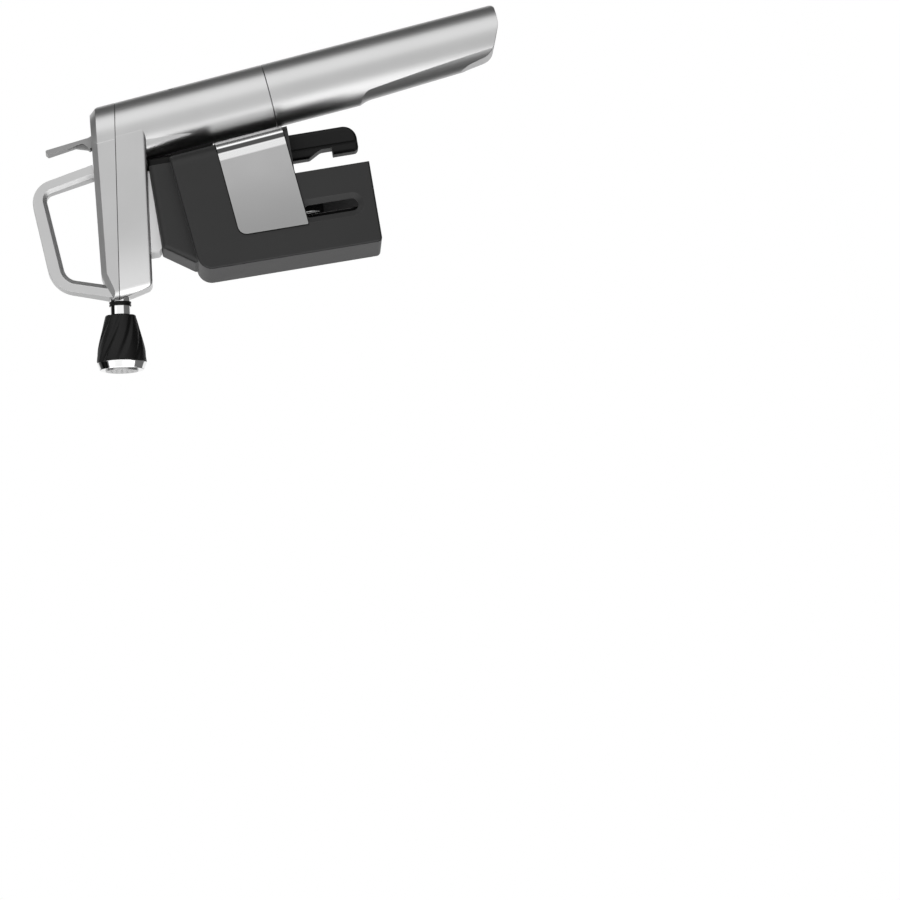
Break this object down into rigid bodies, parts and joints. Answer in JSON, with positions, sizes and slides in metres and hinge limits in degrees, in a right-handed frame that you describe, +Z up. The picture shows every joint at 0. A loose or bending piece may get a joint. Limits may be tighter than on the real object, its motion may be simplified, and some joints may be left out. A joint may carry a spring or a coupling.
{
  "type": "wine preservation dispenser",
  "caption": "Hand-held wine dispenser: a needle and sprung clamp for a bottle's neck, an arm with finger loop and trigger, a gas capsule handle and a spout with fluted aerator.",
  "frame": {"origin": "centre of the bottle's mouth on the needle's axis, with the head pushed down", "axes": "+Z up along the needle away from the bottle, +X towards the spout, +Y to the left"},
  "size_m": [0.1337, 0.0456, 0.2128],
  "materials": {
    "satin_metal": "satin",
    "dark_plastic": "matt",
    "black_plastic": "satin",
    "light_plastic": "matt",
    "natural_plastic": "matt",
    "brushed_trim": "brushed",
    "chrome_plate": "polished",
    "steel": "turned",
    "spring_steel": "drawn",
    "brass_parts": "turned",
    "black_rubber": "matt"
  },
  "bodies": {
    "clamp": {"clamp_housing": "dark_plastic", "needle_guide": "natural_plastic", "mouth_pad": "black_rubber", "trim_plate_left": "brushed_trim", "trim_plate_right": "brushed_trim", "rail_liner_left": "natural_plastic", "rail_liner_right": "natural_plastic", "jaw_pin_left": "steel", "jaw_pin_right": "steel", "jaw_spring_left": "spring_steel", "jaw_spring_right": "spring_steel"},
    "left_jaw": {"jaw_left": "black_plastic", "grip_pad_left": "black_rubber"},
    "right_jaw": {"jaw_right": "black_plastic", "grip_pad_right": "black_rubber"},
    "trigger": {"trigger": "satin_metal"},
    "valve_stem": {"valve_stem": "steel"},
    "gas_capsule": {"gas_capsule": "steel"},
    "capsule_cup": {"capsule_cup": "satin_metal", "cup_seal": "black_rubber", "capsule_seat": "black_rubber"},
    "aerator": {"aerator_body": "black_plastic", "aerator_ring": "chrome_plate", "shower_plate": "steel", "aerator_gasket": "black_rubber"},
    "head": {"body_casting": "satin_metal", "top_cover": "satin_metal", "cover_screws": "steel", "rest_foot": "light_plastic", "guide_rail": "black_plastic", "rail_screws": "steel", "needle": "steel", "needle_hub": "brass_parts", "needle_seal": "black_rubber", "manifold_block": "natural_plastic", "spout_tube": "chrome_plate", "spout_seal": "black_rubber", "spout_ring": "black_plastic", "gas_tube": "steel", "regulator_body": "brass_parts", "regulator_piston": "brass_parts", "regulator_spring": "spring_steel", "regulator_lid": "brass_parts", "piercing_pin": "steel", "capsule_gasket": "black_rubber", "valve_body": "brass_parts", "valve_spring": "spring_steel", "trigger_pin": "steel"}
  },
  "joints": [
    {"name": "needle_plunge", "type": "slide", "parent": "clamp", "child": "head", "axis": [0, 0, 1], "range_m": [0, 0.065]},
    {"name": "trigger_press", "type": "hinge", "parent": "head", "child": "trigger", "pos_m": [-0.05075, 0, 0.02312], "axis": [0, 1, 0], "range_deg": [0, 10], "stiffness_Nm_per_rad": 0.3, "springref_deg": -5.73},
    {"name": "valve_push", "type": "slide", "parent": "head", "child": "valve_stem", "axis": [-0.0932, 0, -0.9956], "range_m": [0, 0.0014], "deforming": ["valve_spring"]},
    {"name": "left_jaw_swing", "type": "hinge", "parent": "clamp", "child": "left_jaw", "pos_m": [-0.017, 0.0135, -0.022], "axis": [0, 0, 1], "range_deg": [0, 6], "stiffness_Nm_per_rad": 0.3, "springref_deg": -5.73},
    {"name": "right_jaw_swing", "type": "hinge", "parent": "clamp", "child": "right_jaw", "pos_m": [-0.017, -0.0135, -0.022], "axis": [0, 0, -1], "range_deg": [0, 6], "stiffness_Nm_per_rad": 0.3, "springref_deg": -5.73},
    {"name": "capsule_drop", "type": "slide", "parent": "head", "child": "gas_capsule", "axis": [-0.0932, 0, -0.9956], "range_m": [0, 0.0045]},
    {"name": "cup_turn", "type": "hinge", "parent": "gas_capsule", "child": "capsule_cup", "pos_m": [-0.05374, 0, -0.041], "axis": [-0.0932, 0, -0.9956], "range_deg": [0, 1080]},
    {"name": "aerator_pull", "type": "slide", "parent": "head", "child": "aerator", "axis": [0.9906, 0, 0.1366], "range_m": [0, 0.012]}
  ],
  "couplings": [
    {"joint": "valve_push", "follows": "trigger_press", "m_per_rad": 0.008},
    {"joint": "cup_turn", "follows": "capsule_drop", "rad_per_m": 4188.8}
  ]
}
